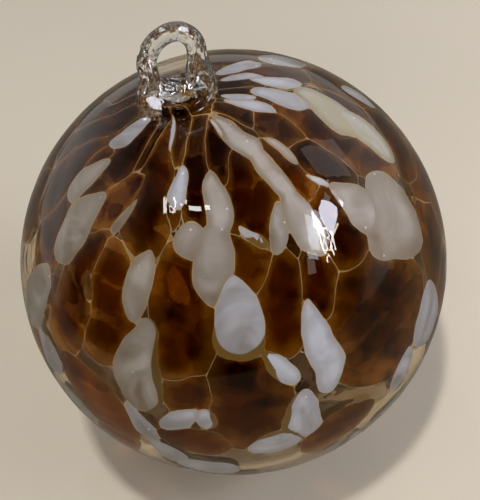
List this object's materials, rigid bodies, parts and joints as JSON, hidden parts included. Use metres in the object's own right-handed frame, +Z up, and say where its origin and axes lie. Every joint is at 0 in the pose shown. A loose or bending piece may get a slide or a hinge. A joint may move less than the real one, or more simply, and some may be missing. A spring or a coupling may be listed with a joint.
{
  "type": "blown glass ball ornament",
  "caption": "Hand-blown glass ball mottled in amber brown and opal white, with a short neck and a clear glass hanging loop on top.",
  "frame": {"origin": "centre of the small flat spot under the ball, on the surface that it rests on", "axes": "+Z up the ball's own axis, through the neck and the loop; the loop stands in the XZ plane and its eye goes through along Y"},
  "size_m": [0.1, 0.1, 0.1172],
  "materials": {
    "amber_and_opal_glass": "blown glass with melted amber-brown and opal white chips, cased in clear, fire-polished gloss",
    "clear_glass": "clear glass, hot worked, fire-polished gloss"
  },
  "bodies": {
    "root": {"ball": "amber_and_opal_glass", "hanging_loop": "clear_glass"}
  },
  "joints": []
}
